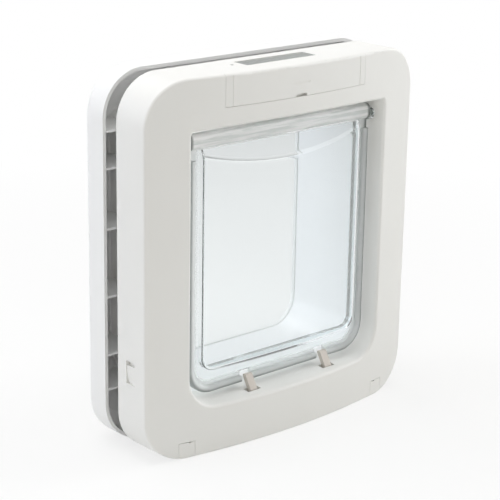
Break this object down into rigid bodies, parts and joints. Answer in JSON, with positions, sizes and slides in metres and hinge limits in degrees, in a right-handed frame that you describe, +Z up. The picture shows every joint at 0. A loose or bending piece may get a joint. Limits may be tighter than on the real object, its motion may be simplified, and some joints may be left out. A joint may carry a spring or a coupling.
{
  "type": "cat flap",
  "caption": "Wall-through electronic cat flap: crowned white indoor unit with a clear swinging flap, sill latches, a tunnel and a ribbed outdoor frame.",
  "frame": {"origin": "middle of the footprint, on the surface that both frames stand on", "axes": "+Z up; +Y from the room side towards the outdoor side; +X to the right seen from the room"},
  "size_m": [0.262, 0.103, 0.281],
  "materials": {
    "white_abs": "fine moulded satin",
    "clear_polycarbonate": "clear polished moulding",
    "clear_bush": "clear moulding",
    "bright_steel": "zinc plated",
    "beige_acetal": "moulded satin",
    "solenoid_case": "dark plated steel",
    "cell_jacket": "printed jacket, plain",
    "nickel_contact": "nickel plated spring",
    "display_acrylic": "smoked acrylic",
    "display_glass": "display glass",
    "sensor_lens": "dark lens",
    "board_laminate": "green solder mask",
    "grey_key": "silicone key",
    "copper_coil": "enamelled copper winding"
  },
  "bodies": {
    "unit": {"front_housing": "white_abs", "rear_chassis": "white_abs", "outdoor_frame": "white_abs", "screw_cover_left": "white_abs", "screw_cover_right": "white_abs", "hinge_bush_left": "clear_bush", "hinge_bush_right": "clear_bush", "hinge_pin_left": "clear_bush", "hinge_pin_right": "clear_bush", "latch_solenoid_left": "solenoid_case", "latch_solenoid_right": "solenoid_case", "battery_1": "cell_jacket", "battery_2": "cell_jacket", "battery_3": "cell_jacket", "battery_4": "cell_jacket", "battery_contact_left": "nickel_contact", "battery_contact_right": "nickel_contact", "display_window": "display_acrylic", "display_module": "display_glass", "light_sensor": "sensor_lens", "circuit_board": "board_laminate", "antenna_coil": "copper_coil", "fixing_screws": "bright_steel", "chassis_screws": "bright_steel"},
    "flap": {"flap": "clear_polycarbonate"},
    "latch_left": {"latch_left": "beige_acetal"},
    "latch_right": {"latch_right": "beige_acetal"},
    "battery_cover": {"battery_cover": "white_abs"},
    "key_1": {"key_1": "grey_key"},
    "key_2": {"key_2": "grey_key"},
    "key_3": {"key_3": "grey_key"},
    "lock_slider": {"lock_slider": "white_abs"}
  },
  "joints": [
    {"name": "flap_swing", "type": "hinge", "parent": "unit", "child": "flap", "pos_m": [0, -0.0295, 0.2297], "axis": [1, 0, 0], "range_deg": [-80, 80]},
    {"name": "latch_left_lift", "type": "slide", "parent": "unit", "child": "latch_left", "axis": [0, 0, 1], "range_m": [0, 0.007]},
    {"name": "latch_right_lift", "type": "slide", "parent": "unit", "child": "latch_right", "axis": [0, 0, 1], "range_m": [0, 0.007]},
    {"name": "battery_cover_slide", "type": "slide", "parent": "unit", "child": "battery_cover", "axis": [0, 0, 1], "range_m": [0, 0.028]},
    {"name": "key_1_press", "type": "slide", "parent": "unit", "child": "key_1", "axis": [0, 1, 0], "range_m": [0, 0.0008], "stiffness_N_per_m": 600},
    {"name": "key_2_press", "type": "slide", "parent": "unit", "child": "key_2", "axis": [0, 1, 0], "range_m": [0, 0.0008], "stiffness_N_per_m": 600},
    {"name": "key_3_press", "type": "slide", "parent": "unit", "child": "key_3", "axis": [0, 1, 0], "range_m": [0, 0.0008], "stiffness_N_per_m": 600},
    {"name": "lock_slider_slide", "type": "slide", "parent": "unit", "child": "lock_slider", "axis": [0, 0, 1], "range_m": [0, 0.0032]}
  ]
}
